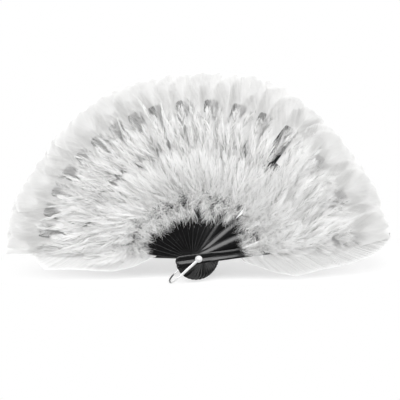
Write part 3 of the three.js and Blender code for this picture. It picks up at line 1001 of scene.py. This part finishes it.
# Painted shade: the flat bed under the locks is a greyer copy of the down's white, standing for the shade under
# them.
shaded_bed_white = feather_material("white_bed", pale=0.9, deep=0.4, clear=0.9, glow=0.15, tip_edge=0.8)
down_seat = -blade_face - 0.0008
down_stop = blade_face + 0.0003
plume_steps = 12
front_hem, back_hem = 0.002, 0.003
back_fringe = 0.6
lock_lean = 0.28
back_lean = -0.1
most_lean = 0.5
narrow_from = wide_gaps + middle_gaps
bed_rise = 0.0015
down_depth = 0.038
gap_lock_count = 8
top_lock_count = 4
gorge_angles = (6, 22, 38, 54, 64, 74, 85, 95, 105, 115, 124, 132, 142, 150, 156, 162, 168, 178)
gorge_radii = (0.062, 0.060, 0.065, 0.064, 0.054, 0.049, 0.053, 0.052, 0.052, 0.055, 0.050, 0.051, 0.055, 0.061,
               0.070, 0.064, 0.060, 0.064)
lock_grain = {
    "Barb Pitch": 0.00055, "Barb Width": 0.00024, "Tip Taper": 0.7, "Angle Spread": 0.14, "Length Spread": 0.25,
    "Clump": 0.25, "Clump Size": 0.14, "Gather": 0.85, "Sweep": 0.12, "Droop": 0.04, "Lift": 0.1, "Shingle": 0.2,
    "Tangle": 0.12, "Tangle Size": 60.0, "Shaft Radius": 0.0003, "Barb Steps": 6, "Barbs a Lock": 4,
    "Barb Material": down_white, "Shaft Material": quill_white}
loose_gather = 0.55
bed_grain = {
    **lock_grain, "Barb Pitch": 0.0005, "Barb Width": 0.0004, "Tip Taper": 0.6, "Gather": 0.6, "Lift": 0.03,
    "Tangle": 0.08, "Droop": 0.0, "Shaft Radius": 0.0002, "Barb Material": shaded_bed_white}
fluff_grain = {
    "Barb Pitch": 0.00048, "Barb Width": 0.00017, "Tip Taper": 0.6, "Angle Spread": 0.35, "Length Spread": 0.5,
    "Clump": 0.5, "Clump Size": 0.17, "Gather": 0.3, "Sweep": 0.1, "Droop": -0.02, "Lift": 0.5, "Shingle": 0.2,
    "Tangle": 0.7, "Tangle Size": 90.0, "Shaft Radius": 0.00018, "Barb Steps": 7, "Barbs a Lock": 6,
    "Barb Material": down_white, "Shaft Material": quill_white}

# The limits between which a plume's measures are drawn: long locks in rows, locks in the wide gaps, short
# ones at the bare blade's top, curly down, the down that spills to the rivet, and wisps near the tops.
lock_turns = {"bend": (-0.3, 0.3), "roll": (-0.6, 0.6)}
lock_rows = (
    {"count": 2, "root": (0.080, 0.094), "length": (0.034, 0.044),
     "rise": (0.006, 0.0095), "reach": (0.022, 0.028)},
    {"count": 3, "root": (0.092, 0.106), "length": (0.030, 0.040),
     "rise": (0.005, 0.008), "reach": (0.022, 0.028)},
    {"count": 4, "root": (0.126, 0.150), "length": (0.026, 0.036),
     "rise": (0.003, 0.006), "reach": (0.016, 0.022)},
    {"count": 1, "root": (0.142, 0.156), "length": (0.028, 0.036),
     "rise": (0.003, 0.005), "reach": (0.012, 0.016)},
    {"count": 1, "root": (0.152, 0.170), "length": (0.030, 0.046),
     "rise": (0.002, 0.004), "reach": (0.010, 0.014)},
)
gap_locks = {
    "root": (0.100, 0.142), "length": (0.038, 0.052), "place": (0.7, 1.0), "lean": (0.2, 0.45),
    "bend": (-0.2, 0.1), "rise": (0.003, 0.006), "roll": (-0.5, 0.5), "reach": (0.022, 0.028)}
top_locks = {
    "root": (0.172, 0.182), "length": (0.020, 0.030), "lean": (-0.3, 0.3), "bend": (-0.2, 0.2),
    "rise": (0.001, 0.003), "roll": (-0.4, 0.4), "reach": (0.010, 0.016)}
curly_down = {
    "length": (0.014, 0.026), "place": (0.05, 0.95), "lean": (-0.9, 0.9), "bend": (-0.5, 0.5),
    "rise": (0.004, 0.010), "roll": (-1.2, 1.2), "reach": (0.011, 0.016)}
front_down = {**curly_down, "place": (0.7, 0.95), "lean": (0.3, 0.9)}
spilling_down = {
    "length": (0.005, 0.012), "place": (0.1, 0.9), "lean": (math.pi - 0.5, math.pi + 0.5), "bend": (-0.4, 0.4),
    "rise": (0.002, 0.006), "roll": (-1.0, 1.0), "reach": (0.014, 0.024)}
wisps = {
    "root": (0.176, 0.196), "length": (0.010, 0.016), "place": (0.0, 1.0), "lean": (-0.4, 0.5),
    "bend": (-0.4, 0.4), "rise": (0.001, 0.003), "roll": (-0.6, 0.6), "reach": (0.010, 0.016)}


def half_angle(radius, k):
    return math.asin(half_width(radius, widths_of(k)) / radius)


def bare_strip(k, radius):
    """The angles, from blade k's own line, between which the blade before it leaves room."""
    high = half_angle(radius, k)
    if k == 0:
        return front_hem / radius - high, high
    low = half_angle(radius, k - 1) - gap_after(k - 1)
    return low, high - back_hem / radius if k == last_blade else high


def shade_greying(k, root):
    """How much greyer than chance the plumes rooted at a radius on blade k are made: painted shade, set by blade
    and row.
    """
    if k < 2:
        return 0.6
    if k > bare_blade and root > 0.12:
        return 0.0 if k > 13 else 0.9 if root > 0.14 else 0.3
    return 0.7 if k < 11 and 0.08 < root < 0.107 else 0.2


def plume(k, chance, root, length, place, lean, bend, rise, roll, profile):
    """A plume on blade k: root radius, length, place across the bare strip, lean and bend sideways, rise to
    the front, roll of its plane, and profile(share) giving a barb's reach and slant."""
    low, high = bare_strip(k, root)
    start = low + (high - low) * place
    x, z = root * math.cos(start), root * math.sin(start)
    way = start + lean
    line, lengths, slants = [], [], []
    step = length / (plume_steps - 1)
    for i in range(plume_steps):
        share = i / (plume_steps - 1)
        lift = math.sin(math.pi * min(1.0, 0.04 + 0.78 * share ** 0.8)) * rise
        line.append((x, down_seat - lift, z))
        x += step * math.cos(way + bend * share)
        z += step * math.sin(way + bend * share)
        reach, slant = profile(share)
        lengths.append(reach)
        slants.append(math.radians(slant))
    across = (-math.sin(roll) * math.sin(way), -math.cos(roll), math.sin(roll) * math.cos(way))
    facing = placed([across], k)[0] - np.array([0, blade_depth(k), 0])
    return {"points": placed(line, k), "reach": lengths, "slant": slants, "face": [facing] * plume_steps,
            "fresh": chance.uniform(0.2, 2.0) + shade_greying(k, root), "right": back_fringe if k == last_blade else 1.0}


def drawn_plume(k, chance, limits, slants, **fixed):
    """A plume with barbs that slant less towards its tip. What isn't fixed is drawn between limits."""
    size = {key: fixed[key] if key in fixed else chance.uniform(*limits[key])
            for key in ("root", "length", "place", "lean", "bend", "rise", "roll", "reach")}
    longest = size.pop("reach")

    def profile(share):
        return (longest * (0.5 + 0.5 * math.sin(math.pi * (0.15 + 0.7 * share))),
                slants[0] + (slants[1] - slants[0]) * share)

    return plume(k, chance, profile=profile, **size)


def bed_profile(longest, slants):
    def profile(share):
        return longest * (1 - 0.65 * share * share), slants[0] + (slants[1] - slants[0]) * share
    return profile


for k in range(blade_count):
    chance = random.Random(500 + k)
    wide = k <= wide_gaps
    crowd = 3 if wide else 1.5 if k <= narrow_from else 1
    long_plumes = []
    for row in lock_rows:
        first = row["root"][0]
        if first > 0.15 and k < narrow_from:
            continue
        count = round(row["count"] * (crowd if first < 0.14 or not wide else 1.5))
        for i in range(count):
            place = (i + chance.uniform(0.1, 0.9)) / count
            lean = (lock_lean if k < last_blade else back_lean) + chance.uniform(-0.26, 0.26)
            if k < bare_blade:
                lean = min(most_lean, lean + 0.3 * place)
            if k == bare_blade and first > 0.12:
                if place < 0.55:
                    continue
                place = 0.4 + 0.6 * place
            long_plumes.append(drawn_plume(k, chance, {**row, **lock_turns}, (36, 8) if wide else (27, 6),
                                           place=place, lean=lean))
    for i in range(gap_lock_count if k < bare_blade else 0):
        long_plumes.append(drawn_plume(k, chance, gap_locks, (36, 10)))
    for i in range(top_lock_count if k == bare_blade else 0):
        long_plumes.append(drawn_plume(k, chance, top_locks, (36, 12), place=(i + 0.2) / top_lock_count))
    stop = {"Back Stop": blade_depth(k) - down_stop}
    gather = {"Gather": loose_gather} if k < bare_blade else {}
    plumes = feathers(f"plumes_{k + 1:02d}", long_plumes, {**lock_grain, **gather, **stop, "Seed": 40 + k})

    gorge = float(np.interp(math.degrees(blade_angle(k)), gorge_angles, gorge_radii))
    inner = gorge + (0.010 if wide else 0.014) + chance.uniform(-0.002, 0.002)
    narrow = k >= narrow_from
    tiers = [(inner + 0.020, 0.138 if narrow else 0.145, 0.026)]
    if k != bare_blade:
        tiers.append((0.149, 0.168 if k == 0 else 0.187 if narrow else 0.191, 0.019 if narrow else 0.022))
    abreast = 3 if wide else 2
    bed_plumes = []
    for root, tip, longest in tiers:
        for i in range(abreast):
            bed_plumes.append(plume(
                k, chance, root=root, length=tip - root + chance.uniform(-0.005, 0.006),
                place=(i + 0.5 * (k > 0)) / abreast, lean=chance.uniform(0.0, 0.08),
                bend=chance.uniform(-0.08, 0.08), rise=bed_rise, roll=chance.uniform(-0.1, 0.1),
                profile=bed_profile(longest, (40 if wide else 34, 20))))
    bed = feathers(f"bed_{k + 1:02d}", bed_plumes, {**bed_grain, **stop, "Seed": 140 + k})

    curly_count = 18 if k == bare_blade else 30 if wide else 11
    spilling_count = 8 if wide else 5
    wisp_count = 10 if wide else 3 if narrow else 5
    short_plumes = []
    for i in range(curly_count):
        root = inner + down_depth * ((i + chance.random()) / curly_count) ** 0.7
        short_plumes.append(drawn_plume(k, chance, curly_down if k else front_down, (110, 35), root=root))
    for i in range(spilling_count):
        root = inner + chance.uniform(0.0, 0.012)
        short_plumes.append(drawn_plume(k, chance, spilling_down, (40, 20), root=root))
    for i in range(wisp_count):
        short_plumes.append(drawn_plume(k, chance, wisps, (60, 20)))
    fluff = feathers(f"down_{k + 1:02d}", short_plumes, {**fluff_grain, **stop, "Seed": 90 + k})

    for piece in (plumes, bed, fluff):
        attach(piece, body_name(k))
        if k:
            blade_depth(k) - blade_face
            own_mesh(piece)
    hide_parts(f"down_tuft_{k + 1:02d}")

low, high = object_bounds()
